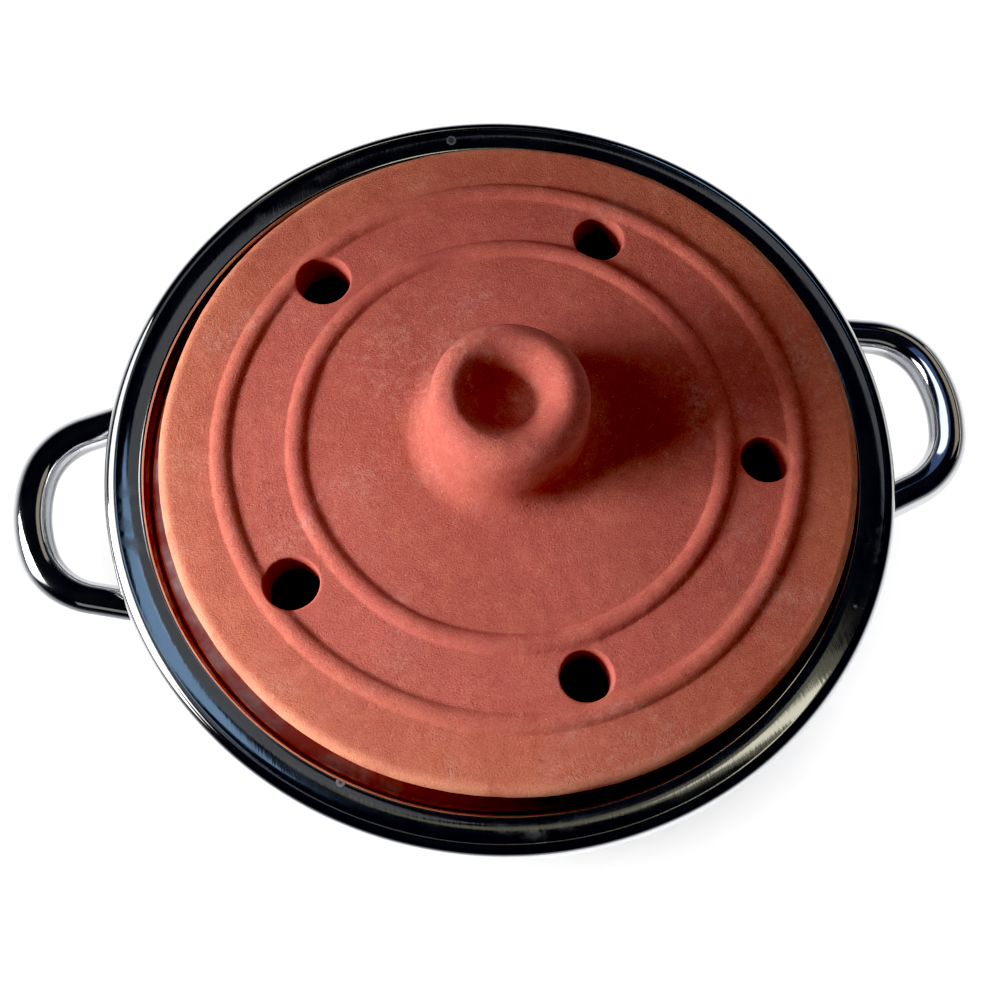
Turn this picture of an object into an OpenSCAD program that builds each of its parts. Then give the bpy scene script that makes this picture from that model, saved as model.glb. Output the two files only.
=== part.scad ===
// Low stainless steel casserole with a fired clay steam lid.
// The pot stands on z = 0, its axis is Z and its two handles lie along X.

/* [Pot] */
// Outer diameter over the rolled rim
rim_d = 272; // [262:1:290]
// Height from the table to the top of the rim
pot_h = 95; // [85:1:140]
// Thickness of the drawn steel sheet
sheet_t = 1; // [0.8:0.1:1]
// Diameter of the rolled bead at the edge of the rim
bead_d = 6.8; // [6:0.2:8]
// Inside diameter of the cooking space below the lid seat
well_d = 221; // [215:1:222]
// Depth of the lid seat below the top of the rim
seat_depth = 10.3; // [9:0.1:13]
// Inside radius between the floor and the wall
floor_fillet = 12; // [6:1:20]

/* [Sandwich base] */
// Diameter of the aluminium core
core_d = 190; // [150:1:196]
// Thickness of the aluminium core
core_h = 4; // [3:0.5:8]
// Thickness of the steel cap around the core
cap_t = 0.6; // [0.5:0.1:1]

/* [Handles] */
// Outer diameter of the handle tube
tube_d = 12.8; // [8:0.2:13]
// Wall of the handle tube
tube_wall = 1.2; // [0.8:0.1:2]
// Distance from the pot's axis to the outermost tube centre
handle_reach = 163.4; // [158:0.2:175]
// Height of the tube centre where it passes under the rim
handle_z = 76.7; // [60:0.1:77]
// Angle at which a handle rises outwards
handle_rise = 8; // [0:1:9]
// Bend radius of the grip
grip_bend = 50; // [45:1:60]
// Bend radius of the two corners
corner_bend = 25; // [20:1:28]
// Width of a mounting plate
plate_w = 108; // [104:1:120]
// Height of a mounting plate
plate_h = 21; // [18:1:30]
// Thickness of a mounting plate
plate_t = 1.5; // [1:0.1:2]

/* [Lid] */
// Diameter of the clay disc
lid_d = 240; // [230:1:240]
// Thickness of the disc at its edge, below the widest line
lid_below = 9.7; // [8:0.1:10]
// Rounding of the disc's upper edge
lid_round = 4; // [3:0.5:6]
// Rise of the domed top from its edge to its middle
dome_rise = 2.3; // [1:0.1:5]
// Rise of the hollow underside
dish_rise = 3; // [1:0.5:4]
// Radii of the two raised rings
ring_radii = [97.8, 73]; // [60:0.5:105]
// Width of a raised ring
ring_w = 7; // [5:0.5:9]
// Height of a raised ring
ring_h = 1.6; // [1:0.1:2.5]
// Where the lid lies in its seat, off the pot's axis
lid_place = [2.8, 1.4]; // [-3:0.1:3]

/* [Steam holes] */
// Direction of each hole, which was punched by hand
hole_angles = [-83, -152, 130, 59, -14]; // [-180:1:180]
// Distance of each hole from the lid's centre
hole_radii = [86, 89, 89, 84.5, 87]; // [80:0.5:90]
// Diameter of each hole
hole_diameters = [16.8, 17.8, 18.6, 18, 16.6]; // [14:0.2:20]
// Width of the bevel around a hole's upper edge
hole_bevel = 1; // [0.5:0.1:2]

/* [Knob] */
// Diameter of the knob at its crest
knob_d = 52; // [44:0.2:60]
// How much the knob's wall spreads towards its foot
knob_spread = 1.6; // [0:0.1:3]
// Height of the knob's crest above the lid's widest line
knob_top = 36.5; // [28:0.5:44]
// Where the knob stands, off the lid's centre
knob_place = [-1.4, 2.2]; // [-4:0.1:4]
// Rounding of the knob's upper edge
knob_round = 7; // [5:0.5:9]
// Depth of the thumb hollow
thumb_depth = 12.5; // [4:0.5:14]
// Radius of the flare where the knob meets the disc
knob_flare = 9; // [6:0.5:9.5]

/* [Hidden] */

steel = [0.78, 0.79, 0.81];
aluminium = [0.86, 0.86, 0.87];
clay = [0.74, 0.37, 0.28];

$fn = 96;
cut = 1;             // how far a cutter runs past what it cuts
fit_gap = 0.05;      // gap between faces that are bonded or welded
lid_clearance = 0.3; // gap between the lid and its seat

// Pot
floor_z = cap_t + fit_gap + core_h + fit_gap + sheet_t;
well_r = well_d / 2;
bead_r = bead_d / 2;
bead_c = [rim_d / 2 - bead_r, pot_h - bead_r];
curl_end = -150;     // direction, seen from the bead's centre, where the curl ends
seat_z = pot_h - seat_depth;
seat_round = 1.8;    // rounding between the well and the seat
seat_fillet = 1.5;   // fillet between the seat and the recess wall
seat_taper = 8;      // lean of the recess wall
shoulder_round = 1.5;
flange_bend = 40;    // the flange is a shallow cove
flange_low = 10;     // slope of the flange at the shoulder
flange_high = 21;    // slope of the flange at the bead

function polar(r, a) = [r * cos(a), r * sin(a)];
function arc(c, r, a0, a1, n) = [for (i = [0:n]) c + polar(r, a0 + (a1 - a0) * i / n)];
function reversed(v) = [for (i = [len(v) - 1:-1:0]) v[i]];

flange_c = bead_c + polar(bead_r + flange_bend, 90 + flange_high);
flange_foot = flange_c + polar(flange_bend, flange_low - 90);
shoulder_c = flange_foot - polar(shoulder_round, 90 + flange_low);
recess_top = shoulder_c + polar(shoulder_round, 180 - seat_taper);
fillet_z = seat_z + seat_fillet;
recess_low_r = recess_top[0] - (recess_top[1] - fillet_z) * tan(seat_taper);
fillet_c = [recess_low_r - seat_fillet / cos(seat_taper), fillet_z];

// One side of the drawn sheet, o below or outside its upper surface
function sheet_side(o) = concat(
    [[0, floor_z - o]],
    arc([well_r - floor_fillet, floor_z + floor_fillet], floor_fillet + o, -90, 0, 12),
    arc([well_r + seat_round, seat_z - seat_round], seat_round - o, 180, 90, 8),
    arc(fillet_c, seat_fillet + o, -90, -seat_taper, 8),
    arc(shoulder_c, shoulder_round - o, 180 - seat_taper, 90 + flange_low, 10),
    arc(flange_c, flange_bend + o, flange_low - 90, flange_high - 90, 6),
    arc(bead_c, bead_r - o, 90 + flange_high, curl_end, 40)
);

// Handles
tube_r = tube_d / 2;
turn = [24, 7] / 25; // direction, a 7-24-25 triangle, in which a section meets the next
leg_turn = [turn[1], turn[0]];
grip_c = [handle_reach - grip_bend, 0];
corner_c = grip_c + (grip_bend - corner_bend) * turn;
leg_start = corner_c + corner_bend * leg_turn;
leg_len = 46;        // reaches through the pot's wall, where the leg is trimmed
plate_in = well_r + sheet_t + fit_gap;
plate_out = plate_in + plate_t;
plate_z = 71.5;
plate_corner = 6;
handle_pivot_x = 126;

// Lid, from its own widest line
lid_r = lid_d / 2;
lid_z = seat_z + lid_clearance + lid_below;
dome_edge_r = lid_r - lid_round;
dome_bend = (pow(dome_edge_r, 2) + pow(dome_rise, 2)) / (2 * dome_rise);
side_lean = 12;      // the disc narrows towards its underside
foot_round = 1.6;
foot_c = [lid_r - 3.3, -lid_below + foot_round];
foot_in = foot_c[0] - 5.7;
dish_bend = (pow(foot_in, 2) + pow(dish_rise, 2)) / (2 * dish_rise);
ring_bend = (pow(ring_w / 2, 2) + pow(ring_h, 2)) / (2 * ring_h);
knob_r = knob_d / 2;
neck_r = knob_r + knob_spread;
crest_r = knob_r - knob_round;
knob_shoulder = knob_top - knob_round;
thumb_fullness = 1.4; // above 1 the hollow is a bowl, at 1 a soft dip

// Height of the domed top at radius r
function dome_z(r) = lid_round + dome_rise - (dome_bend - sqrt(pow(dome_bend, 2) - r * r));
// Height of the hollow underside at radius r
function dish_z(r) = dish_rise - lid_below - (dish_bend - sqrt(pow(dish_bend, 2) - r * r));
// Height of the thumb hollow at radius r
function thumb_z(r) = knob_top - thumb_depth * (1 + cos(180 * pow(r / crest_r, thumb_fullness))) / 2;

module pot_shell() {
    color(steel)
        rotate_extrude()
            polygon(concat(sheet_side(0), reversed(sheet_side(sheet_t))));
}

module base_core() {
    color(aluminium)
        translate([0, 0, cap_t + fit_gap])
            cylinder(d = core_d, h = core_h);
}

// A pressed cup that wraps the core up to the pot's floor
module base_cap() {
    cup_in = core_d / 2 + fit_gap;
    cup_out = cup_in + cap_t;
    cup_h = floor_z - sheet_t - fit_gap;
    press_r = 1.5;
    color(steel)
        difference() {
            rotate_extrude()
                polygon(concat(
                    [[0, 0]],
                    arc([cup_out - press_r, press_r], press_r, -90, 0, 8),
                    [[cup_out, cup_h], [0, cup_h]]
                ));
            translate([0, 0, cap_t])
                cylinder(r = cup_in, h = cup_h);
        }
}

// The tube's section
module tube_section() {
    difference() {
        circle(r = tube_r);
        circle(r = tube_r - tube_wall);
    }
}

// A bend of the tube about c, from one direction to another
module tube_bend(c, bend, from, to) {
    wedge = 3 * bend * [[0, 0], from, from + to, to];
    translate([c[0], c[1], 0])
        intersection() {
            rotate_extrude()
                translate([bend, 0]) tube_section();
            translate([0, 0, -tube_d])
                linear_extrude(2 * tube_d) polygon(wedge);
        }
}

// A corner and a leg, on the +Y side
module side_run() {
    tube_bend(corner_c, corner_bend, turn, leg_turn);
    translate([leg_start[0], leg_start[1], 0])
        rotate([0, 0, 180 - atan2(turn[1], turn[0])])
            rotate([0, 90, 0])
                linear_extrude(leg_len) tube_section();
}

// A bent tube whose ends are coped to the mounting plate
module handle() {
    difference() {
        translate([handle_pivot_x, 0, handle_z])
            rotate([0, -handle_rise, 0])
                translate([-handle_pivot_x, 0, 0]) {
                    tube_bend(grip_c, grip_bend, [turn[0], -turn[1]], turn);
                    side_run();
                    mirror([0, 1, 0]) side_run();
                }
        cylinder(r = plate_out + fit_gap, h = pot_h);
    }
}

module right_handle() {
    color(steel) handle();
}

module left_handle() {
    color(steel) mirror([1, 0, 0]) handle();
}

module rounded_rect(w, h, r) {
    square([w - 2 * r, h], center = true);
    square([w, h - 2 * r], center = true);
    for (x = [-1, 1], y = [-1, 1])
        translate([x * (w / 2 - r), y * (h / 2 - r)]) circle(r = r);
}

// A strap rolled to the pot's wall, spot-welded under the rim
module handle_plate() {
    intersection() {
        difference() {
            cylinder(r = plate_out, h = pot_h);
            translate([0, 0, -cut]) cylinder(r = plate_in, h = pot_h + 2 * cut);
        }
        translate([0, 0, plate_z])
            rotate([90, 0, 90])
                linear_extrude(rim_d / 2)
                    rounded_rect(plate_w, plate_h, plate_corner);
    }
}

module right_handle_plate() {
    color(steel) handle_plate();
}

module left_handle_plate() {
    color(steel) mirror([1, 0, 0]) handle_plate();
}

module disc() {
    dish_steps = 12;
    dome_steps = 16;
    rotate_extrude()
        polygon(concat(
            [for (i = [0:dish_steps]) let (r = foot_in * i / dish_steps) [r, dish_z(r)]],
            arc(foot_c, foot_round, -90, -side_lean, 8),
            arc([dome_edge_r, 0], lid_round, -side_lean, 88, 12),
            [for (i = [dome_steps:-1:0])
                let (r = (dome_edge_r - 0.5) * i / dome_steps) [r, dome_z(r)]]
        ));
}

module raised_ring(r) {
    translate([0, 0, dome_z(r) + ring_h - ring_bend])
        rotate_extrude()
            translate([r, 0]) circle(r = ring_bend);
}

module knob() {
    foot_z = dome_z(neck_r + knob_flare);
    thumb_steps = 14;
    translate(concat(knob_place, [0]))
        rotate_extrude()
            polygon(concat(
                [[0, 0], [neck_r + knob_flare, 0]],
                arc([neck_r + knob_flare, foot_z + knob_flare], knob_flare, -90, -180, 12),
                arc([crest_r, knob_shoulder], knob_round, 0, 90, 12),
                [for (i = [thumb_steps - 1:-1:0])
                    let (r = crest_r * i / thumb_steps) [r, thumb_z(r)]]
            ));
}

module steam_hole(i) {
    r = hole_diameters[i] / 2;
    face_z = dome_z(hole_radii[i]);
    rotate([0, 0, hole_angles[i]])
        translate([hole_radii[i], 0, 0]) {
            translate([0, 0, -lid_below - cut])
                cylinder(r = r, h = lid_below + face_z + 2 * cut);
            translate([0, 0, face_z - hole_bevel])
                cylinder(r1 = r, r2 = r + hole_bevel + cut, h = hole_bevel + cut);
        }
}

// Disc, rings and knob are one piece of fired clay
module clay_lid() {
    color(clay)
        translate(concat(lid_place, [lid_z]))
            difference() {
                union() {
                    disc();
                    for (r = ring_radii) raised_ring(r);
                    knob();
                }
                for (i = [0:len(hole_angles) - 1]) steam_hole(i);
            }
}

pot_shell();
base_core();
base_cap();
left_handle();
right_handle();
left_handle_plate();
right_handle_plate();
clay_lid();
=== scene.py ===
"""Looks for the low steel casserole with the fired clay steam lid.

Everything is in metres in the CAD frame: the pot stands on z = 0, its axis is Z and its
handles lie along X. Dimensions below are in millimetres, as in the CAD source, and each
mesh is scaled once when it is made.
"""
import bmesh
import bpy
import math
import numpy as np
from mathutils import Matrix, Vector
from mathutils.geometry import delaunay_2d_cdt


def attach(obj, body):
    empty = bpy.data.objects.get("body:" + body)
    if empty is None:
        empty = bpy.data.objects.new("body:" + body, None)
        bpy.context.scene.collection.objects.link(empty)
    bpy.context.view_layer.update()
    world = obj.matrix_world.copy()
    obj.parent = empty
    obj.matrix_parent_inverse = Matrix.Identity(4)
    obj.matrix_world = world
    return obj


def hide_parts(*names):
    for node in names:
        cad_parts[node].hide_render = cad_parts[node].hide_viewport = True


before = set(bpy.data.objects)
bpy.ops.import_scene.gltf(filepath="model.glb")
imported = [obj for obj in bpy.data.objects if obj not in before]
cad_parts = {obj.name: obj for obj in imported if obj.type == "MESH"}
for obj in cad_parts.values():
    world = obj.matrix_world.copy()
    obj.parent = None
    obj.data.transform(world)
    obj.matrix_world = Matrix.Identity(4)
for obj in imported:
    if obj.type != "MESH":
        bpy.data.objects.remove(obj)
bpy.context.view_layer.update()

MM = 0.001
SKIN = 0.03          # mm kept inside the CAD's outline, so that no vertex leaves its box


# ---------------------------------------------------------------- dimensions, in mm
# Pot
rim_d, pot_h, sheet_t, bead_r = 272.0, 95.0, 1.0, 3.4
well_r, floor_fillet, seat_depth = 110.5, 12.0, 10.3
core_d, core_h, cap_t, fit_gap = 190.0, 4.0, 0.6, 0.05
floor_z = cap_t + fit_gap + core_h + fit_gap + sheet_t
seat_z = pot_h - seat_depth
seat_round, seat_fillet, seat_taper, seat_wall_r = 1.8, 1.5, 8.0, 122.0
shoulder_round, flange_bend, flange_low, flange_high, curl_end = 1.5, 40.0, 10.0, 21.0, -150.0
# Handles
tube_r, tube_wall, handle_reach, handle_z = 6.4 - SKIN, 1.2, 163.4, 76.7
handle_rise, grip_bend, corner_bend, handle_pivot_x = 8.0, 50.0, 25.0, 126.0
plate_w, plate_h, plate_t, plate_z, plate_corner = 108.0, 21.0, 1.5, 71.5, 6.0
plate_in = well_r + sheet_t + fit_gap
plate_out = plate_in + plate_t
# Lid, heights from its own widest line
lid_r, lid_below, lid_round, dome_rise, dish_rise = 120.0, 9.7, 4.0, 2.3, 3.0
side_lean, foot_round = 12.0, 1.6
lid_place, lid_z = (2.8, 1.4), seat_z + 0.3 + lid_below
ring_radii, ring_w, ring_h = (97.8, 73.0), 7.0, 1.6
hole_angles = (-83, -152, 130, 59, -14)
hole_radii = (86, 89, 89, 84.5, 87)
hole_diameters = (16.8, 17.8, 18.6, 18.0, 16.6)
knob_d, knob_top, knob_place, knob_round = 52.0, 36.5, (-1.4, 2.2), 7.0
thumb_depth, thumb_fullness, knob_spread, knob_flare = 12.5, 1.4, 1.6, 9.0
dome_edge_r = lid_r - lid_round
dome_bend = (dome_edge_r ** 2 + dome_rise ** 2) / (2 * dome_rise)
foot_c = (lid_r - 3.3, -lid_below + foot_round)
foot_in = foot_c[0] - 5.7
dish_bend = (foot_in ** 2 + dish_rise ** 2) / (2 * dish_rise)
knob_r = knob_d / 2
neck_r = knob_r + knob_spread
crest_r = knob_r - knob_round


# ---------------------------------------------------------------- geometry helpers
def polar(r, a):
    return np.array([r * math.cos(math.radians(a)), r * math.sin(math.radians(a))])


def arc(c, r, a0, a1, n):
    return [np.array(c) + polar(r, a0 + (a1 - a0) * i / n) for i in range(n + 1)]


def make_mesh(name, points, faces, smooth_angle=None):
    """A mesh object from points in mm."""
    mesh = bpy.data.meshes.new(name)
    mesh.from_pydata((np.array(points, float) * MM).tolist(), [], [list(map(int, f)) for f in faces])
    mesh.validate()
    work = bmesh.new()
    work.from_mesh(mesh)
    bmesh.ops.recalc_face_normals(work, faces=work.faces)
    work.to_mesh(mesh)
    work.free()
    mesh.update()
    for p in mesh.polygons:
        p.use_smooth = True
    if smooth_angle is not None:
        mesh.set_sharp_from_angle(angle=math.radians(smooth_angle))
    obj = bpy.data.objects.new(name, mesh)
    bpy.context.scene.collection.objects.link(obj)
    return obj


def lathe_faces(rows, n, first_pole, last_pole, offset=0):
    """Faces of a lathed form: rows rings of n points, and a single point at each pole asked for."""
    j = np.arange(n)
    k = (j + 1) % n
    faces = []
    start = offset + (1 if first_pole else 0)
    if first_pole:
        faces += [(offset, start + b, start + a) for a, b in zip(j, k)]
    for i in range(rows - 1):
        a, b = start + i * n, start + (i + 1) * n
        faces += list(zip(a + j, a + k, b + k, b + j))
    if last_pole:
        a, pole = start + (rows - 1) * n, start + rows * n
        faces += [(a + x, a + y, pole) for x, y in zip(j, k)]
    return faces


def lathe(name, profile, n, smooth_angle=40):
    """profile in (r, z); points with r = 0 at either end become poles."""
    first, last = profile[0][0] == 0, profile[-1][0] == 0
    rows = profile[(1 if first else 0):(-1 if last else None)]
    t = np.arange(n) * 2 * math.pi / n
    points = [(0, 0, profile[0][1])] if first else []
    for r, z in rows:
        points += list(zip(r * np.cos(t), r * np.sin(t), np.full(n, z)))
    if last:
        points.append((0, 0, profile[-1][1]))
    faces = lathe_faces(len(rows), n, first, last)
    return make_mesh(name, points, faces, smooth_angle)


def waves(seed, count, shortest, longest, dims=3):
    """Random plane waves, whose sum is a smooth bumpy field about 1 high."""
    rng = np.random.RandomState(seed)
    length = np.exp(rng.uniform(math.log(shortest), math.log(longest), count))
    way = rng.normal(size=(count, dims))
    way /= np.linalg.norm(way, axis=1)[:, None]
    return way * (2 * math.pi / length)[:, None], rng.uniform(0, 2 * math.pi, count)


def field(points, wave):
    k, phase = wave
    p = np.asarray(points, float)
    return np.sin(p @ k.T + phase).sum(-1) * math.sqrt(2.0 / len(phase)) / 1.6


def smooth_step(x, lo, hi):
    t = np.clip((np.asarray(x, float) - lo) / (hi - lo), 0, 1)
    return t * t * (3 - 2 * t)


# ---------------------------------------------------------------- the pot
def sheet_side(o, n_bead):
    """One side of the drawn sheet, o outside its upper surface."""
    bead_c = np.array([rim_d / 2 - bead_r, pot_h - bead_r])
    flange_c = bead_c + polar(bead_r + flange_bend, 90 + flange_high)
    flange_foot = flange_c + polar(flange_bend, flange_low - 90)
    shoulder_c = flange_foot - polar(shoulder_round, 90 + flange_low)
    recess_top = shoulder_c + polar(shoulder_round, 180 - seat_taper)
    fillet_z = seat_z + seat_fillet
    tan_taper = math.tan(math.radians(seat_taper))
    recess_low_r = recess_top[0] - (recess_top[1] - fillet_z) * tan_taper
    fillet_c = (recess_low_r - seat_fillet / math.cos(math.radians(seat_taper)), fillet_z)
    floor_steps = [(r, floor_z - o) for r in (0, 15, 30, 50, 70, 88)]
    return (
        floor_steps
        + arc((well_r - floor_fillet, floor_z + floor_fillet), floor_fillet + o, -90, 0, 16)
        + [(well_r + o, z) for z in (26.0, 44.0, 62.0, 76.0)]
        + arc((well_r + seat_round, seat_z - seat_round), seat_round - o, 180, 90, 10)
        + arc(fillet_c, seat_fillet + o, -90, -seat_taper, 12)
        + arc(shoulder_c, shoulder_round - o, 180 - seat_taper, 90 + flange_low, 14)
        + arc(flange_c, flange_bend + o, flange_low - 90, flange_high - 90, 10)
        + arc(bead_c, bead_r - o - (SKIN if o == 0 else 0), 90 + flange_high, curl_end, n_bead)
    )


def make_pot():
    top = sheet_side(0, 44)
    under = sheet_side(sheet_t, 30)
    return lathe("pot_shell_drawn", top + under[::-1], 384)


def make_base():
    cup_in = core_d / 2 + fit_gap
    cup_out = cup_in + cap_t
    cup_h = floor_z - sheet_t - fit_gap
    press_r, lip = 1.5, 0.2
    profile = (
        [(r, 0.0) for r in (0, 12, 30, 50, 70, 85)]
        + arc((cup_out - press_r, press_r), press_r, -90, 0, 12)
        + arc((cup_out - lip, cup_h - lip), lip, 0, 90, 4)
        + arc((cup_in + lip, cup_h - lip), lip, 90, 180, 4)
        + [(cup_in, cap_t)]
        + [(r, cap_t) for r in (70, 30, 0)]
    )
    return lathe("base_cap_pressed", profile, 384)


# ---------------------------------------------------------------- the handles
def handle_path():
    """Centres and directions along one handle before it is tilted, from leg to leg."""
    turn = math.degrees(math.atan2(7, 24))
    grip_c = np.array([handle_reach - grip_bend, 0.0])
    half = []
    for i in range(17):                                  # half the grip, from its middle
        a = turn * i / 16
        half.append((grip_c + polar(grip_bend, a), polar(1, a + 90)))
    corner_c = grip_c + polar(grip_bend - corner_bend, turn)
    for i in range(1, 25):
        a = turn + (90 - 2 * turn) * i / 24
        half.append((corner_c + polar(corner_bend, a), polar(1, a + 90)))
    other = [(p * (1, -1), d * (-1, 1)) for p, d in half[:0:-1]]
    return other + half


def tilt(p):
    """The loop rises outwards about the line under the rim."""
    s, c = math.sin(math.radians(handle_rise)), math.cos(math.radians(handle_rise))
    x, y, z = p[..., 0] - handle_pivot_x, p[..., 1], p[..., 2]
    return np.stack([handle_pivot_x + x * c - z * s, y, handle_z + x * s + z * c], -1)


def tube_ring(centre, way, radius, n):
    side = np.array([way[1], -way[0], 0.0])              # away from the loop's inside
    a = np.arange(n) * 2 * math.pi / n
    ring = np.outer(np.cos(a), side) + np.outer(np.sin(a), [0, 0, 1.0])
    return np.array([centre[0], centre[1], 0.0]) + radius * ring, ring


def to_plate(points, way, reach):
    """Each point moved along way until it is reach from the pot's axis."""
    a = (way[:, 0] ** 2 + way[:, 1] ** 2)
    b = 2 * (points[:, 0] * way[:, 0] + points[:, 1] * way[:, 1])
    c = points[:, 0] ** 2 + points[:, 1] ** 2 - reach ** 2
    t = (-b - np.sqrt(b * b - 4 * a * c)) / (2 * a)
    return points + way * t[:, None]


def handle_skin(radius, n, leg_rings):
    """Rings of one surface of the tube, from plate to plate."""
    path = handle_path()
    rings = [tilt(tube_ring(c, d, radius, n)[0]) for c, d in path]
    legs = []
    for (c, d), sign in ((path[0], -1), (path[-1], 1)):
        ring = tube_ring(c, d, radius, n)[0]
        way = tilt(ring + sign * np.array([d[0], d[1], 0.0])) - tilt(ring)
        start = tilt(ring)
        end = to_plate(start, way, plate_out + fit_gap)
        legs.append([start + (end - start) * (i / leg_rings) for i in range(1, leg_rings + 1)])
    return legs[0][::-1] + rings + legs[1]


def make_handle(name, mirror):
    n = 56
    outer, inner = handle_skin(tube_r, n, 10), handle_skin(tube_r - tube_wall, n, 10)
    points = np.concatenate(outer + inner[::-1])
    points[:, 0] *= mirror
    rows = len(outer) + len(inner)
    j = np.arange(n)
    k = (j + 1) % n
    faces = []
    for i in range(rows):
        a, b = i * n, ((i + 1) % rows) * n
        quad = zip(a + j, b + j, b + k, a + k) if mirror < 0 else zip(a + j, a + k, b + k, b + j)
        faces += list(quad)
    return make_mesh(name, points, faces, 50)


def make_welds(name, mirror):
    """The weld beads where a handle's two legs meet their plate."""
    n, m = 168, 14                                       # points around the leg, and around the bead
    bead, bead_out, bead_rise, sunk = 1.5, 0.35, 0.8, 0.6
    path = handle_path()
    points, faces = [], []
    rng = np.random.RandomState(11 if mirror > 0 else 12)
    for (c, d), sign in ((path[0], -1), (path[-1], 1)):
        ring, radial = tube_ring(c, d, tube_r, n)
        way = tilt(ring + sign * np.array([d[0], d[1], 0.0])) - tilt(ring)
        foot = to_plate(tilt(ring), way, plate_out)
        out = tilt(ring + radial) - tilt(ring)
        a = np.arange(n) * 2 * math.pi / n
        ripple = 1 + 0.1 * np.abs(np.sin(a * 13 + 0.5 * np.sin(a * 3 + sign)))
        ripple += 0.05 * np.sin(a * 2 + rng.uniform(0, 6)) + 0.03 * np.sin(a * 5 + rng.uniform(0, 6))
        normal = foot * (1, 1, 0) / np.linalg.norm(foot[:, :2], axis=1)[:, None]
        base = len(points)
        for i in range(m):
            t = 2 * math.pi * i / m
            r = (bead * ripple)[:, None]
            ring_i = foot + bead_out * out + r * (math.cos(t) * out + math.sin(t) * bead_rise * normal)
            deep = np.linalg.norm(ring_i[:, :2], axis=1)
            push = np.maximum(0, plate_out - sunk - deep)
            ring_i = ring_i + normal * push[:, None]
            points += list(ring_i)
        j = np.arange(n)
        k = (j + 1) % n
        for i in range(m):
            p, q = base + i * n, base + ((i + 1) % m) * n
            faces += list(zip(p + j, p + k, q + k, q + j))
    points = np.array(points)
    points[:, 0] *= mirror
    return make_mesh(name, points, faces)


def make_plate(name, mirror):
    """A rolled strap with softened edges and six spot welds pressed into it."""
    edge, near_edge = 0.45, 0.12                         # rounding of the edge, and its first row of points
    spot_r, spot_depth, clearance = 2.6, 0.22, 0.02
    half_w, half_h = plate_w / 2, plate_h / 2
    ys = np.concatenate([[-half_w, -half_w + near_edge, -half_w + edge],
                         np.linspace(-half_w + 1, half_w - 1, 117),
                         [half_w - edge, half_w - near_edge, half_w]])
    vs = np.concatenate([[-1, -0.985, -0.955], np.linspace(-0.9, 0.9, 27), [0.955, 0.985, 1]])
    spots = [(y, z) for y in (-47, 47) for z in (-4.6, 4.6)] + [(y, 0) for y in (-14, 14)]

    def height(y):
        past = abs(y) - (half_w - plate_corner)
        if past <= 0:
            return half_h
        return half_h - plate_corner + math.sqrt(max(0, plate_corner ** 2 - past ** 2))

    outer, inner = [], []
    for y in ys:
        h = height(y)
        for v in vs:
            z = h * v
            inside = min(half_w - abs(y), h - abs(z))
            t = min(1, inside / edge)
            drop = edge * (1 - math.sqrt(max(0, 1 - (1 - t) ** 2)))
            for sy, sz in spots:
                d = math.hypot(y - sy, z - sz) / spot_r
                if d < 1:
                    drop += spot_depth * (1 + math.cos(math.pi * d))
            r = plate_out - SKIN - drop
            outer.append((math.sqrt(r * r - y * y), y, plate_z + z))
            r = plate_in + clearance
            inner.append((math.sqrt(r * r - y * y), y, plate_z + z))
    a, b = len(ys), len(vs)
    points = np.array(outer + inner)
    faces = []
    for i in range(a - 1):
        for j in range(b - 1):
            p = i * b + j
            faces.append((p, p + b, p + b + 1, p + 1))
            q = p + a * b
            faces.append((q, q + 1, q + b + 1, q + b))
    rim = [i * b for i in range(a)] + [(a - 1) * b + j for j in range(1, b)]
    rim += [i * b + b - 1 for i in range(a - 2, -1, -1)] + [j for j in range(b - 2, 0, -1)]
    for p, q in zip(rim, rim[1:] + rim[:1]):
        faces.append((q, p, p + a * b, q + a * b))
    points[:, 0] *= mirror
    if mirror < 0:
        faces = [f[::-1] for f in faces]
    return make_mesh(name, points, faces, 60)


# ---------------------------------------------------------------- the lid
LONG = waves(3, 18, 28, 90)
MEDIUM = waves(4, 30, 7, 20)
FINE = waves(5, 44, 2.6, 6)
CLAY_WAVES = ((0.16, LONG), (0.055, MEDIUM), (0.022, FINE))
RING_A, RING_B = waves(6, 6, 60, 300, 2), waves(7, 8, 30, 200, 2)
ring_wander, ring_swell, ring_soft = 0.35, 0.13, 0.22


def dome_z(r):
    return lid_round + dome_rise - (dome_bend - np.sqrt(dome_bend ** 2 - r * r))


def dish_z(r):
    return dish_rise - lid_below - (dish_bend - np.sqrt(dish_bend ** 2 - r * r))


def thumb_z(r):
    return knob_top - thumb_depth * (1 + np.cos(np.pi * np.minimum(r / crest_r, 1) ** thumb_fullness)) / 2


def rough(p, amount):
    """Unevenness of hand-shaped clay, in mm, at points p."""
    return amount * sum(height * field(p, wave) for height, wave in CLAY_WAVES)


def top_z(x, y):
    """Height of the disc's upper surface, rings included, holes left out."""
    x, y = np.asarray(x, float), np.asarray(y, float)
    r = np.hypot(x, y)
    z = dome_z(np.minimum(r, dome_edge_r + 2))
    round_about = np.stack([x / np.maximum(r, 1), y / np.maximum(r, 1)], -1) * 100
    for i, ring in enumerate(ring_radii):
        away = r - ring - ring_wander * field(round_about + 37 * i, RING_A)
        tall = ring_h * (1 + ring_swell * field(round_about - 59 * i, RING_B))
        bend = ((ring_w / 2) ** 2 + tall ** 2) / (2 * tall)
        crown = dome_z(ring) + tall - bend + np.sqrt(np.maximum(bend ** 2 - away ** 2, 0.01))
        gap = np.maximum(ring_soft - np.abs(z - crown), 0) / ring_soft
        z = np.where(np.abs(away) < ring_w / 2 + 1, np.maximum(z, crown) + gap ** 2 * ring_soft / 4, z)
    p = np.stack([x, y, np.zeros_like(x)], -1)
    return z + rough(p, 1.0) * smooth_step(r, 119, 112)


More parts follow.
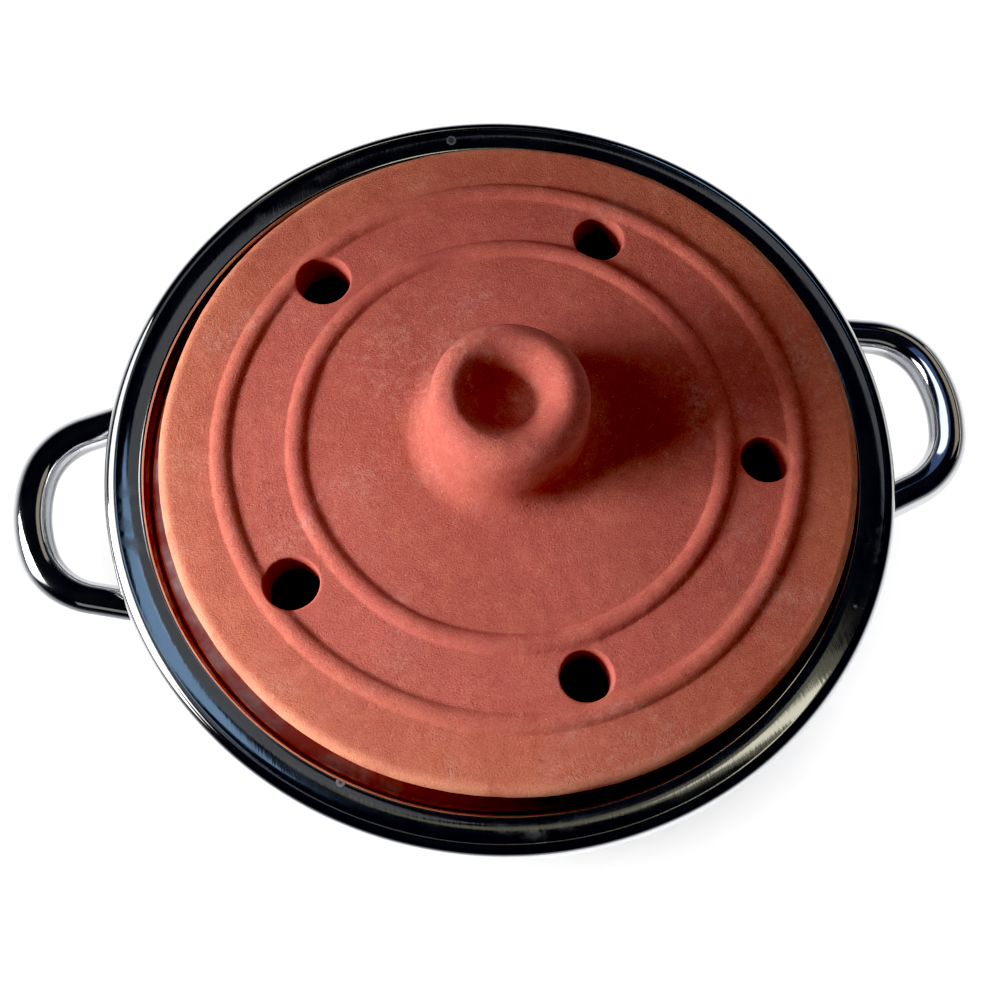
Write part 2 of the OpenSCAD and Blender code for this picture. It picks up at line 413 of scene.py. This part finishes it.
def under_z(x, y):
    x, y = np.asarray(x, float), np.asarray(y, float)
    r = np.hypot(x, y)
    p = np.stack([x, y, np.full_like(x, -9.0)], -1)
    return dish_z(np.minimum(r, foot_in)) + rough(p, 0.8) * smooth_step(r, foot_in + 1, foot_in - 8)


def lid_rows():
    """Profile rows of the lid, from the knob's middle over the edge to the dish's middle, as (kind, r, z)."""
    ring_foot_step, ring_step, disc_step = 0.5, 0.8, 1.15
    hole_belt, dish_step_in_belt, dish_step = (72, 105), 1.8, 4.0
    foot_z = float(dome_z(neck_r + knob_flare))
    rows = [("knob", r, float(thumb_z(r))) for r in crest_r * np.linspace(0.05, 0.97, 24)]
    shoulder = knob_top - knob_round
    rows += [("knob", p[0], p[1]) for p in arc((crest_r, shoulder), knob_round, 90, 0, 13)]
    for t in (0.2, 0.4, 0.6, 0.8):
        rows.append(("knob", knob_r + knob_spread * t, shoulder + (foot_z + knob_flare - shoulder) * t))
    flare_c = (neck_r + knob_flare, foot_z + knob_flare)
    rows += [("knob", p[0], p[1]) for p in arc(flare_c, knob_flare, 180, 270, 12)[:-1]]
    r = neck_r + knob_flare
    while r < dome_edge_r - 1:
        rows.append(("top", r, 0))
        near = min(abs(abs(r - ring) - ring_w / 2) for ring in ring_radii)
        on = min(abs(r - ring) for ring in ring_radii) < ring_w / 2
        r += ring_foot_step if near < 1.1 else ring_step if on else disc_step
    rows += [("edge", p[0], p[1]) for p in arc((dome_edge_r, 0), lid_round, 88, -side_lean, 14)]
    rows += [("edge", p[0], p[1]) for p in arc(foot_c, foot_round, -side_lean, -90, 6)]
    rows.append(("edge", foot_in + 2.5, -lid_below))
    r = foot_in
    while r > 3:
        rows.append(("under", r, 0))
        r -= dish_step_in_belt if hole_belt[0] < r < hole_belt[1] else dish_step
    return rows


def lid_points(rows, n):
    t = np.arange(n) * 2 * math.pi / n
    c, s = np.cos(t), np.sin(t)
    out = []
    for kind, r, z in rows:
        if kind == "knob":
            hollow = 1 - smooth_step(r, crest_r * 0.7, crest_r) if z < knob_top and r < crest_r else 0
            p = np.stack([r * c, r * s, np.full(n, z)], -1)
            bump = np.minimum(rough(p, 1.2) - 0.22, -SKIN)
            # the bump acts along the profile's own normal: up on the crest, outwards on the side
            up = smooth_step(z, knob_top - knob_round, knob_top - 1) if r > crest_r * 0.5 else 1.0
            x = p[:, 0] + knob_place[0] + bump * c * (1 - up)
            y = p[:, 1] * (1 - 0.05 * hollow) + knob_place[1] + bump * s * (1 - up)
            out.append(np.stack([x, y, z + bump * up], -1))
        elif kind == "top":
            w = 1 - smooth_step(r, neck_r + knob_flare, 62)
            x, y = r * c + knob_place[0] * w, r * s + knob_place[1] * w
            out.append(np.stack([x, y, top_z(x, y)], -1))
        elif kind == "edge":
            p = np.stack([r * c, r * s, np.full(n, z)], -1)
            in_out = (rough(p * (1, 1, 3), 1.0) - 0.25) * smooth_step(z, -lid_below, -lid_below + 2)
            p[:, 0] += in_out * c
            p[:, 1] += in_out * s
            lift = top_z(r * c, r * s) - dome_z(min(r, dome_edge_r + 2))
            p[:, 2] += lift * smooth_step(z, 1.5, lid_round)
            out.append(p)
        else:
            out.append(np.stack([r * c, r * s, under_z(r * c, r * s)], -1))
    return out


def hole_outline(i, extra, n):
    """Points of hole i, extra mm outside its wall. The holes were punched by hand, so none is quite round."""
    t = np.arange(n) * 2 * math.pi / n
    rng = np.random.RandomState(40 + i)
    r = hole_diameters[i] / 2 + extra
    for k in (2, 3, 5):
        r = r + rng.uniform(0.05, 0.22) / (k - 1) * np.cos(k * t + rng.uniform(0, 6.3))
    centre = polar(hole_radii[i], hole_angles[i])
    return centre[0] + r * np.cos(t), centre[1] + r * np.sin(t)


def patch(points, boundary, ring):
    """Triangles between a jagged loop of grid points and a hole's outermost ring.

    The grid's straight runs are bent a little first, so that no triangle has its corners in line.
    """
    bend = 0.0005
    ids = list(boundary) + list(ring)
    nb, nr = len(boundary), len(ring)
    flat = np.array([points[v][:2] for v in ids])
    away = flat - flat[nb:].mean(0)
    flat = flat[nb:].mean(0) + away * (1 + bend * (away ** 2).sum(1))[:, None]
    edges = [(i, (i + 1) % nb) for i in range(nb)] + [(nb + i, nb + (i + 1) % nr) for i in range(nr)]
    got = delaunay_2d_cdt([Vector(p) for p in flat.tolist()], edges, [], 0, 1e-7)
    outer, inner = flat[:nb].tolist(), flat[nb:].tolist()

    def inside(x, y, loop):
        hit = False
        for (x0, y0), (x1, y1) in zip(loop, loop[1:] + loop[:1]):
            if (y0 > y) != (y1 > y) and x < (x1 - x0) * (y - y0) / (y1 - y0) + x0:
                hit = not hit
        return hit

    made = []
    for f in got[2]:
        corners = [got[3][i][0] for i in f]
        x, y = flat[corners].mean(0)
        if inside(x, y, outer) and not inside(x, y, inner):
            made.append([ids[i] for i in corners])
    return made


def wanted_side(points, f, up):
    """The face turned so that its normal's z has the sign of up."""
    a, b, c = (np.array(points[i]) for i in f[:3])
    return f if np.cross(b - a, c - a)[2] * up > 0 else f[::-1]


def make_lid():
    n, n_hole = 480, 72                                  # points around the disc, and around a hole
    hole_clear, flat_outside = 3.9, 2.4                  # cut-away of the grid, and flat ring, outside a wall
    rows = lid_rows()
    rings = lid_points(rows, n)
    points = [np.array([knob_place[0], knob_place[1], float(thumb_z(0.0)) - 0.12])]
    points += [p for ring in rings for p in ring]
    points.append(np.array([0.0, 0.0, float(under_z(0.0, 0.0))]))
    faces = lathe_faces(len(rows), n, True, True)
    xy = np.array(points)[:, :2]
    side = np.zeros(len(points), int)                     # +1 on the upper side, -1 on the dish
    for i, (kind, _, _) in enumerate(rows):
        side[1 + i * n:1 + (i + 1) * n] = {"top": 1, "under": -1}.get(kind, 0)

    # each wall ring: distance outside the punched wall, and depth below the upper surface
    lip, low_lip = 0.9, 0.6
    upper = [(3.0, 0.0), (flat_outside, 0.0), (1.9, 0.0)]
    upper += [(lip * (1 - math.sin(a)), lip * (1 - math.cos(a))) for a in np.radians(np.linspace(6, 90, 8))]
    for i in range(len(hole_angles)):
        centre = polar(hole_radii[i], hole_angles[i])
        away = np.hypot(*(xy - centre).T)
        clear = hole_diameters[i] / 2 + hole_clear
        gone_up = set(np.nonzero((away < clear) & (side == 1))[0])
        gone_low = set(np.nonzero((away < clear) & (side == -1))[0])
        kept, cut_up, cut_low = [], [], []
        for f in faces:
            if any(v in gone_up for v in f):
                cut_up.append(f)
            elif any(v in gone_low for v in f):
                cut_low.append(f)
            else:
                kept.append(f)
        faces = kept

        def loop_of(cut):
            count = {}
            for f in cut:
                f = [int(v) for v in f]
                for a, b in zip(f, f[1:] + f[:1]):
                    if (b, a) in count:
                        del count[(b, a)]
                    else:
                        count[(a, b)] = True
            follow = dict(count.keys())
            start = next(iter(follow))
            loop, v = [start], follow[start]
            while v != start:
                loop.append(v)
                v = follow[v]
            return loop

        loop_up, loop_low = loop_of(cut_up), loop_of(cut_low)
        ring_ids = []
        for extra, drop in upper:
            x, y = hole_outline(i, extra, n_hole)
            z = top_z(x, y) - drop
            ring_ids.append(range(len(points), len(points) + n_hole))
            points += list(np.stack([x, y, z], -1))
        x, y = hole_outline(i, 0, n_hole)
        z0, z1 = top_z(x, y) - lip, under_z(x, y) + low_lip
        lean, wall_wobble = 0.25, 0.12 / 9                # the punch left the wall a little wider at the top
        for t in (0.3, 0.6, 0.85, 1.0):
            cx, cy = centre
            k = 1 - lean * t / (hole_diameters[i] / 2)
            wx, wy = cx + (x - cx) * k, cy + (y - cy) * k
            uneven = 1 + wall_wobble * field(np.stack([wx, wy, z0 + (z1 - z0) * t], -1), MEDIUM)
            wx, wy = cx + (wx - cx) * uneven, cy + (wy - cy) * uneven
            ring_ids.append(range(len(points), len(points) + n_hole))
            points += list(np.stack([wx, wy, z0 + (z1 - z0) * t], -1))
        for a in np.radians(np.linspace(25, 90, 4)):
            ex, ey = hole_outline(i, low_lip * (1 - math.cos(a)) - lean, n_hole)
            ring_ids.append(range(len(points), len(points) + n_hole))
            points += list(np.stack([ex, ey, under_z(ex, ey) + low_lip * (1 - math.sin(a))], -1))
        ex, ey = hole_outline(i, flat_outside, n_hole)
        ring_ids.append(range(len(points), len(points) + n_hole))
        points += list(np.stack([ex, ey, under_z(ex, ey)], -1))
        for a, b in zip(ring_ids, ring_ids[1:]):
            for j in range(n_hole):
                k = (j + 1) % n_hole
                faces.append((a[j], a[k], b[k], b[j]))
        for f in patch(points, loop_up, ring_ids[0]):
            faces.append(wanted_side(points, f, 1))
        for f in patch(points, loop_low, ring_ids[-1]):
            faces.append(wanted_side(points, f, -1))
    points = np.array(points)
    # left-over points of the cut grid
    used = np.zeros(len(points), bool)
    for f in faces:
        for v in f:
            used[v] = True
    place = np.cumsum(used) - 1
    faces = [[int(place[v]) for v in f] for f in faces]
    points = points[used] + (lid_place[0], lid_place[1], lid_z)
    return make_mesh("clay_lid_thrown", points, faces)


# ---------------------------------------------------------------- materials
def node_tree(name):
    mat = bpy.data.materials.new(name)
    mat.use_nodes = True
    nt = mat.node_tree
    nt.nodes.clear()
    out = nt.nodes.new("ShaderNodeOutputMaterial")
    bsdf = nt.nodes.new("ShaderNodeBsdfPrincipled")
    nt.links.new(bsdf.outputs["BSDF"], out.inputs["Surface"])
    return mat, nt, bsdf


class Net:
    """Short ways to add the nodes that the materials share."""

    def __init__(self, nt):
        self.nt = nt
        self.coords = nt.nodes.new("ShaderNodeTexCoord").outputs["Object"]

    def link(self, a, b):
        self.nt.links.new(a, b)

    def feed(self, socket, value):
        if isinstance(value, bpy.types.NodeSocket):
            self.link(value, socket)
        else:
            socket.default_value = value

    def noise(self, scale, detail=4.0, rough=0.55, distortion=0.0, vector=None):
        n = self.nt.nodes.new("ShaderNodeTexNoise")
        n.inputs["Scale"].default_value = scale
        n.inputs["Detail"].default_value = detail
        n.inputs["Roughness"].default_value = rough
        n.inputs["Distortion"].default_value = distortion
        self.link(vector or self.coords, n.inputs["Vector"])
        return n.outputs["Fac"]

    def cells(self, scale, output="Distance"):
        n = self.nt.nodes.new("ShaderNodeTexVoronoi")
        n.inputs["Scale"].default_value = scale
        self.link(self.coords, n.inputs["Vector"])
        return n.outputs[output]

    def stretch(self, scale, location=(0, 0, 0)):
        n = self.nt.nodes.new("ShaderNodeMapping")
        n.inputs["Scale"].default_value = scale
        n.inputs["Location"].default_value = location
        self.link(self.coords, n.inputs["Vector"])
        return n.outputs["Vector"]

    def ramp(self, value, lo, hi, out_lo=0.0, out_hi=1.0):
        n = self.nt.nodes.new("ShaderNodeMapRange")
        n.interpolation_type = "SMOOTHSTEP"
        self.link(value, n.inputs["Value"])
        for key, v in (("From Min", lo), ("From Max", hi), ("To Min", out_lo), ("To Max", out_hi)):
            n.inputs[key].default_value = v
        return n.outputs["Result"]

    def math(self, op, a, b):
        n = self.nt.nodes.new("ShaderNodeMath")
        n.operation = op
        self.feed(n.inputs[0], a)
        self.feed(n.inputs[1], b)
        return n.outputs["Value"]

    def mix(self, fac, a, b):
        n = self.nt.nodes.new("ShaderNodeMix")
        n.data_type = "RGBA"
        self.feed(n.inputs["Factor"], fac)
        for socket, v in ((n.inputs["A"], a), (n.inputs["B"], b)):
            self.feed(socket, v if isinstance(v, bpy.types.NodeSocket) else (*v, 1.0))
        return n.outputs["Result"]

    def bump(self, height, distance, strength=1.0, normal=None):
        n = self.nt.nodes.new("ShaderNodeBump")
        n.inputs["Distance"].default_value = distance
        n.inputs["Strength"].default_value = strength
        self.link(height, n.inputs["Height"])
        if normal is not None:
            self.link(normal, n.inputs["Normal"])
        return n.outputs["Normal"]

    def radius(self, centre_mm=(0, 0)):
        """Distance from an upright axis, in metres."""
        moved = self.stretch((1, 1, 0), (-centre_mm[0] * MM, -centre_mm[1] * MM, 0))
        n = self.nt.nodes.new("ShaderNodeVectorMath")
        n.operation = "LENGTH"
        self.link(moved, n.inputs[0])
        return n.outputs["Value"]


# colours of the fired clay, linear
PINK, OCHRE = (0.46, 0.108, 0.092), (0.46, 0.132, 0.082)
BROWN, WARM = (0.38, 0.090, 0.070), (0.55, 0.168, 0.118)
# colours painted darker in the bump's low spots and paler on its high spots
LOW_SPOT_SHADE_PAINT, HIGH_SPOT_LIGHT_PAINT = (0.33, 0.070, 0.052), (0.58, 0.20, 0.15)
# the rim's pale colour is partly wear and partly a painted highlight of the lit edge
WORN_AND_LIT_EDGE_PAINT, CHALK = (0.72, 0.33, 0.20), (0.62, 0.36, 0.32)
SAND, PORE = (0.60, 0.22, 0.15), (0.22, 0.045, 0.034)
DARK_GROG, PALE_GROG = (0.14, 0.032, 0.024), (0.72, 0.36, 0.26)
# and of the steel
# the ledge colour is a painted reflection of the clay lid and painted shade under its edge
DRIED_DROP, LID_REFLECTION_AND_SHADE_PAINT = (0.80, 0.80, 0.80), (0.26, 0.085, 0.085)


def clay_material():
    grog, throwing_pitch = 900, 0.0021                   # grains to the metre, and metres from line to line
    mat, nt, bsdf = node_tree("fired_clay")
    net = Net(nt)
    big = net.noise(22, 3, 0.5, 0.4)
    mid = net.noise(80, 5, 0.62, 0.3)
    cloud = net.noise(260, 5, 0.7, 0.4)
    grain = net.noise(1900, 3, 0.7)
    r = net.radius(lid_place)
    # the middle fired pinker, the outer band more ochre
    base = net.mix(net.ramp(r, 0.088, 0.114), PINK, OCHRE)
    base = net.mix(net.math("MULTIPLY", net.ramp(big, 0.36, 0.62), 0.5), base, BROWN)
    base = net.mix(net.math("MULTIPLY", net.ramp(mid, 0.44, 0.70), 0.42), base, WARM)
    # painted shade in the low spots and painted light on the high spots of the cloud noise, which also makes
    # the bump
    base = net.mix(net.math("MULTIPLY", net.ramp(cloud, 0.50, 0.30), 0.40), base, LOW_SPOT_SHADE_PAINT)
    base = net.mix(net.math("MULTIPLY", net.ramp(cloud, 0.52, 0.72), 0.40), base, HIGH_SPOT_LIGHT_PAINT)
    # the rim is worn paler, partly real wear and partly a painted highlight standing in for light on the
    # lid's lit edge
    wear_and_painted_highlight = net.math("MULTIPLY", net.ramp(r, 0.1145, 0.1195), net.ramp(mid, 0.25, 0.60))
    base = net.mix(net.math("MULTIPLY", wear_and_painted_highlight, 0.6), base, WORN_AND_LIT_EDGE_PAINT)
    # chalky bloom in patches, most of it beside the knob where fingers leave the clay alone
    patches = net.ramp(net.noise(30, 6, 0.68, 0.6), 0.52, 0.70)
    near_knob = net.ramp(net.radius((lid_place[0] - 26, lid_place[1] + 30)), 0.034, 0.010)
    patches = net.math("MAXIMUM", patches, net.math("MULTIPLY", near_knob, net.ramp(cloud, 0.42, 0.60)))
    bloom = net.math("MULTIPLY", patches, net.ramp(net.noise(480, 4, 0.75), 0.42, 0.62))
    base = net.mix(net.math("MULTIPLY", bloom, 0.38), base, CHALK)
    base = net.mix(net.math("MULTIPLY", net.ramp(grain, 0.46, 0.70), 0.34), base, SAND)
    base = net.mix(net.math("MULTIPLY", net.ramp(grain, 0.50, 0.28), 0.40), base, PORE)
    # a few small grog grains, dark and pale
    cell = net.cells(grog)
    pick = net.nt.nodes.new("ShaderNodeSeparateColor")
    net.link(net.cells(grog, output="Color"), pick.inputs[0])
    dark = net.math("MULTIPLY", net.ramp(cell, 0.34, 0.14), net.ramp(pick.outputs[0], 0.90, 0.96))
    light = net.math("MULTIPLY", net.ramp(cell, 0.34, 0.14), net.ramp(pick.outputs[1], 0.92, 0.98))
    base = net.mix(net.math("MULTIPLY", dark, 0.5), base, DARK_GROG)
    base = net.mix(net.math("MULTIPLY", light, 0.45), base, PALE_GROG)
    net.link(base, bsdf.inputs["Base Color"])
    net.link(net.ramp(mid, 0.3, 0.7, 0.74, 0.92), bsdf.inputs["Roughness"])
    bsdf.inputs["Specular IOR Level"].default_value = 0.30
    # sandy tooth, shallow pinholes and faint throwing lines
    pitted = net.ramp(net.noise(70, 4, 0.66), 0.46, 0.66)
    pits = net.math("MULTIPLY", net.ramp(net.cells(grog), 0.40, 0.08), pitted)
    lines = nt.nodes.new("ShaderNodeMath")
    lines.operation = "SINE"
    wander = net.math("ADD", r, net.math("MULTIPLY", big, 0.006))
    net.link(net.math("MULTIPLY", wander, 2 * math.pi / throwing_pitch), lines.inputs[0])
    normal = net.bump(net.math("MULTIPLY", lines.outputs[0], net.ramp(mid, 0.42, 0.6)), 0.00001, 1.0)
    normal = net.bump(cloud, 0.00030, 0.6, normal)
    normal = net.bump(net.noise(1500, 4, 0.7), 0.00045, 0.9, normal)
    normal = net.bump(pits, -0.00022, 0.6, normal)
    net.link(normal, bsdf.inputs["Normal"])
    return mat


def steel_material(name, tint, rough_lo, rough_hi, smudge, lines=0.0, spots=0.0, seat=None):
    """lines is the depth of turning marks, spots the dullness of dried drops, seat the ledge in mm that gets
    a painted reflection of the lid and painted shade.
    """
    turning_pitch = 0.0009
    mat, nt, bsdf = node_tree(name)
    net = Net(nt)
    bsdf.inputs["Metallic"].default_value = 1.0
    haze = net.noise(26, 5, 0.62, 0.5)
    fine = net.noise(190, 4, 0.65)
    streak = net.noise(60, 4, 0.6, 0.0, net.stretch((1, 1, 14)))
    patchy = net.math("MULTIPLY", net.ramp(haze, 0.50, 0.72), net.ramp(fine, 0.38, 0.66))
    sheen = net.ramp(streak, 0.3, 0.7, rough_lo, rough_hi)
    rough = net.math("ADD", sheen, net.math("MULTIPLY", patchy, smudge))
    colour = net.mix(net.ramp(haze, 0.35, 0.7), tint, tuple(c * 0.90 for c in tint))
    if spots:
        # dried water drops: pale rings
        cell = net.cells(150)
        pick = nt.nodes.new("ShaderNodeSeparateColor")
        net.link(net.cells(150, output="Color"), pick.inputs[0])
        chosen = net.ramp(pick.outputs[0], 0.86, 0.90)
        ringed = net.math("MULTIPLY", net.ramp(cell, 0.30, 0.24), net.ramp(cell, 0.12, 0.22, 0.35, 1.0))
        splashed = net.ramp(net.noise(17, 3), 0.48, 0.62)
        drop = net.math("MULTIPLY", net.math("MULTIPLY", chosen, ringed), splashed)
        rough = net.math("ADD", rough, net.math("MULTIPLY", drop, spots))
        colour = net.mix(net.math("MULTIPLY", drop, 0.35), colour, DRIED_DROP)
    if seat:
        # painted reflection of the lid's clay and painted shade under its edge, where the lid sits: on the
        # ledge and the foot of its wall, not behind
        z_low, z_high, r_wall = (v * MM for v in seat)
        parts = nt.nodes.new("ShaderNodeSeparateXYZ")
        net.link(net.coords, parts.inputs[0])
        z = parts.outputs["Z"]
        painted_gap_mask = net.math("MULTIPLY", net.ramp(z, z_low, z_low + 0.0002), net.ramp(z, z_high, z_high - 0.0015))
        painted_gap_mask = net.math("MULTIPLY", painted_gap_mask, net.ramp(net.radius(), r_wall + 0.0001, r_wall - 0.0001))
        painted_gap_mask = net.math("MULTIPLY", painted_gap_mask, net.ramp(net.noise(55, 5, 0.7), 0.30, 0.62, 0.70, 1.0))
        # painted reflection of the lid and painted shade in the gap under its edge
        colour = net.mix(painted_gap_mask, colour, LID_REFLECTION_AND_SHADE_PAINT)
        rough = net.math("ADD", rough, net.math("MULTIPLY", painted_gap_mask, 0.32))
    net.link(colour, bsdf.inputs["Base Color"])
    net.link(rough, bsdf.inputs["Roughness"])
    wobble = net.bump(net.noise(14, 2, 0.4), 0.00035, 0.5)
    scratch = net.noise(900, 2, 0.6, 0.0, net.stretch((1, 0.05, 0.3)))
    normal = net.bump(scratch, 0.000010, 0.5, wobble)
    if lines:
        wave = nt.nodes.new("ShaderNodeMath")
        wave.operation = "SINE"
        r = net.radius()
        wander = net.math("ADD", r, net.math("MULTIPLY", fine, 0.0006))
        net.link(net.math("MULTIPLY", wander, 2 * math.pi / turning_pitch), wave.inputs[0])
        normal = net.bump(wave.outputs[0], lines, 0.8, normal)
    net.link(normal, bsdf.inputs["Normal"])
    return mat


def floor_material():
    mat, nt, bsdf = node_tree("studio_floor")
    net = Net(nt)
    tone = net.noise(3, 3, 0.5)
    shade = net.mix(net.ramp(tone, 0.3, 0.7), (0.86, 0.86, 0.86), (0.83, 0.83, 0.835))
    net.link(shade, bsdf.inputs["Base Color"])
    bsdf.inputs["Roughness"].default_value = 0.9
    bsdf.inputs["Specular IOR Level"].default_value = 0.1
    return mat


# ---------------------------------------------------------------- assembly
CLAY = clay_material()
MIRROR = steel_material("polished_steel", (0.61, 0.62, 0.64), 0.035, 0.075, 0.16, spots=0.30,
                        seat=(seat_z - 0.3, seat_z + 4, seat_wall_r + 0.5))
TUBE = steel_material("handle_steel", (0.64, 0.65, 0.67), 0.05, 0.10, 0.08)
SATIN = steel_material("base_steel", (0.60, 0.61, 0.63), 0.16, 0.28, 0.12, 0.000012)
WELD = steel_material("weld_steel", (0.52, 0.50, 0.48), 0.22, 0.38, 0.16)
ALLOY = steel_material("core_aluminium", (0.82, 0.82, 0.83), 0.28, 0.42, 0.10, 0.000010)


def piece(obj, mat, body, slot, *nodes):
    obj.data.materials.clear()
    obj.data.materials.append(mat)
    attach(obj, body)
    if nodes:
        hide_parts(*nodes)
    return obj


pot = piece(make_pot(), MIRROR, "pot", "polished_steel", "pot_shell")
piece(make_base(), SATIN, "pot", "base_steel", "base_cap")
right_tube = piece(make_handle("right_handle_tube", 1), TUBE, "pot", "handle_steel", "right_handle")
left_tube = piece(make_handle("left_handle_tube", -1), TUBE, "pot", "handle_steel", "left_handle")
piece(make_plate("right_handle_strap", 1), SATIN, "pot", "base_steel", "right_handle_plate")
piece(make_plate("left_handle_strap", -1), SATIN, "pot", "base_steel", "left_handle_plate")
piece(make_welds("right_handle_welds", 1), WELD, "pot", "base_steel")
piece(make_welds("left_handle_welds", -1), WELD, "pot", "base_steel")
lid = piece(make_lid(), CLAY, "lid", "fired_clay", "clay_lid")
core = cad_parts["base_core"]
core.data.materials.clear()
core.data.materials.append(ALLOY)

# ---------------------------------------------------------------- stage
floor_r, floor_below = 3000, -0.1
floor_points = [(*polar(floor_r, a), floor_below) for a in range(0, 360, 5)]
floor = make_mesh("studio_floor", floor_points, [range(len(floor_points))])
floor.data.materials.append(floor_material())

world = bpy.data.worlds.new("studio")
bpy.context.scene.world = world
world.use_nodes = True
wt = world.node_tree
wt.nodes.clear()
w_out = wt.nodes.new("ShaderNodeOutputWorld")
w_bg = wt.nodes.new("ShaderNodeBackground")
w_co = wt.nodes.new("ShaderNodeTexCoord")
w_sep = wt.nodes.new("ShaderNodeSeparateXYZ")
w_ramp = wt.nodes.new("ShaderNodeValToRGB")
wt.links.new(w_co.outputs["Generated"], w_sep.inputs[0])
wt.links.new(w_sep.outputs["Z"], w_ramp.inputs["Fac"])
wt.links.new(w_ramp.outputs["Color"], w_bg.inputs["Color"])
wt.links.new(w_bg.outputs["Background"], w_out.inputs["Surface"])
stops = w_ramp.color_ramp.elements
stops[0].position, stops[0].color = 0.0, (0.60, 0.60, 0.60, 1)
stops[1].position, stops[1].color = 1.0, (0.038, 0.038, 0.039, 1)
between = ((0.12, (0.42, 0.43, 0.45, 1)), (0.30, (0.05, 0.052, 0.06, 1)), (0.5, (0.034, 0.034, 0.036, 1)))
for where, shade in between:
    stops.new(where).color = shade


LID_MIDDLE = Vector((0, 0, 0.09))


def area_light(name, place, size, power, colour, target=LID_MIDDLE, along=None, spread=180, only=()):
    """A soft panel facing target, in metres. along turns its first side, only limits what it lights."""
    data = bpy.data.lights.new(name, "AREA")
    data.shape = "RECTANGLE"
    data.size, data.size_y = size
    data.energy = power
    data.color = colour
    data.spread = math.radians(spread)
    obj = bpy.data.objects.new(name, data)
    bpy.context.scene.collection.objects.link(obj)
    place, target = Vector(place), Vector(target)
    z = (place - target).normalized()
    if along is None:
        x = Vector((0, 0, 1)).cross(z).normalized() if abs(z.z) < 0.999 else Vector((1, 0, 0))
    else:
        x = Vector(along)
        x = (x - z * x.dot(z)).normalized()
    y = z.cross(x)
    obj.matrix_world = Matrix.Translation(place) @ Matrix((x, y, z)).transposed().to_4x4()
    obj.visible_camera = False
    if only:
        group = bpy.data.collections.new(name + "_only")
        for lit in only:
            group.objects.link(lit)
        obj.light_linking.receiver_collection = group
    return obj


def around(azimuth, elevation, distance):
    """A place seen from the lid at that azimuth, from +X towards +Y, and elevation."""
    a, e = math.radians(azimuth), math.radians(elevation)
    way = Vector((math.cos(a) * math.cos(e), math.sin(a) * math.cos(e), math.sin(e)))
    return way * distance + LID_MIDDLE


# what the clay is lit by
front_left = (-0.20, -0.36, 0.09)
area_light("window", around(190, 27, 0.70), (0.54, 0.32), 1.75, (1.0, 0.985, 0.96), front_left, spread=80)
area_light("low_window", around(186, 19, 0.62), (0.28, 0.12), 6.2, (1.0, 0.96, 0.90), only=[lid])
area_light("clay_fill", around(20, 60, 1.2), (0.9, 0.9), 2.3, (0.95, 0.96, 1.0), only=[lid])
# what the polished steel mirrors
tubes = [left_tube, right_tube]
left_rim, right_grip, front_rim = (-0.13, -0.03, 0.09), (0.155, 0.0, 0.085), (0.06, -0.11, 0.09)
WHITE, COOL, BLUE = (1.0, 1.0, 1.0), (0.86, 0.93, 1.0), (0.25, 0.45, 1.0)
CREAM, OLIVE = (1.0, 0.96, 0.74), (0.95, 0.90, 0.62)
area_light("skylight", (-0.12, 0.18, 0.56), (0.26, 0.22), 0.017, (0.94, 0.96, 1.0), (-0.02, 0.0, 0.09),
           only=[pot])
area_light("white_panel", (-0.35, 0.14, 0.48), (0.40, 0.36), 0.80, WHITE, left_rim, only=[pot])
area_light("grip_panel", (-0.069, 0.249, 0.457), (0.26, 0.36), 0.52, COOL, right_grip, only=[right_tube])
area_light("grip_edge", (-0.085, 0.306, 0.54), (0.46, 0.62), 0.20, BLUE, right_grip, only=[right_tube])
area_light("cream_strip", around(14, 21, 1.6), (1.3, 0.10), 0.46, (1.0, 0.94, 0.78), only=tubes)
area_light("tan_panel", around(28, 42, 1.4), (1.1, 0.46), 0.58, (1.0, 0.88, 0.68), only=tubes)
area_light("grey_panel", around(-108, 42, 1.3), (0.9, 0.30), 0.22, (1.0, 0.98, 0.92), only=tubes)
area_light("rim_strip", around(20, 9, 1.6), (1.0, 0.34), 0.60, (1.0, 0.93, 0.80), only=[pot])
area_light("blue_panel", around(64, 60, 1.3), (0.15, 0.25), 0.060, (0.40, 0.66, 1.0), only=[pot])
strip_a, strip_b = around(80, 62, 1.3), around(104, 46, 1.3)
strip_c, strip_way = (strip_a + strip_b) / 2, strip_b - strip_a
strip_l = strip_way.length
area_light("warm_strip", strip_c, (strip_l, 0.045), 0.062, CREAM, front_rim, strip_way, only=[pot])
area_light("olive_panel", strip_c * 1.08, (strip_l * 1.3, 0.13), 0.034, OLIVE, front_rim, strip_way,
           only=[pot])
area_light("floor_fill", (0.25, 0, 2.2), (2.6, 2.6), 90, WHITE, only=[floor])

# ---------------------------------------------------------------- camera
cam_data = bpy.data.cameras.new("camera")
cam_data.lens = 40.46
cam_data.sensor_width = 36.0
cam_data.clip_start, cam_data.clip_end = 0.01, 50
cam = bpy.data.objects.new("camera", cam_data)
bpy.context.scene.collection.objects.link(cam)
view_azimuth, view_elevation, view_roll = (math.radians(v) for v in (-13.96, 69.72, 5.55))
turned = (
    Matrix.Rotation(view_azimuth, 4, "Z")
    @ Matrix.Rotation(math.pi / 2 - view_elevation, 4, "X")
    @ Matrix.Rotation(view_roll, 4, "Z")
)
cam.matrix_world = Matrix.Translation((-0.0362, -0.1475, 0.4507)) @ turned
bpy.context.scene.camera = cam
black = 0.022
look = bpy.context.scene.view_settings
look.view_transform = "Standard"
look.use_curve_mapping = True
look.curve_mapping.black_level = (black, black, black)
look.curve_mapping.update()

bpy.context.view_layer.update()
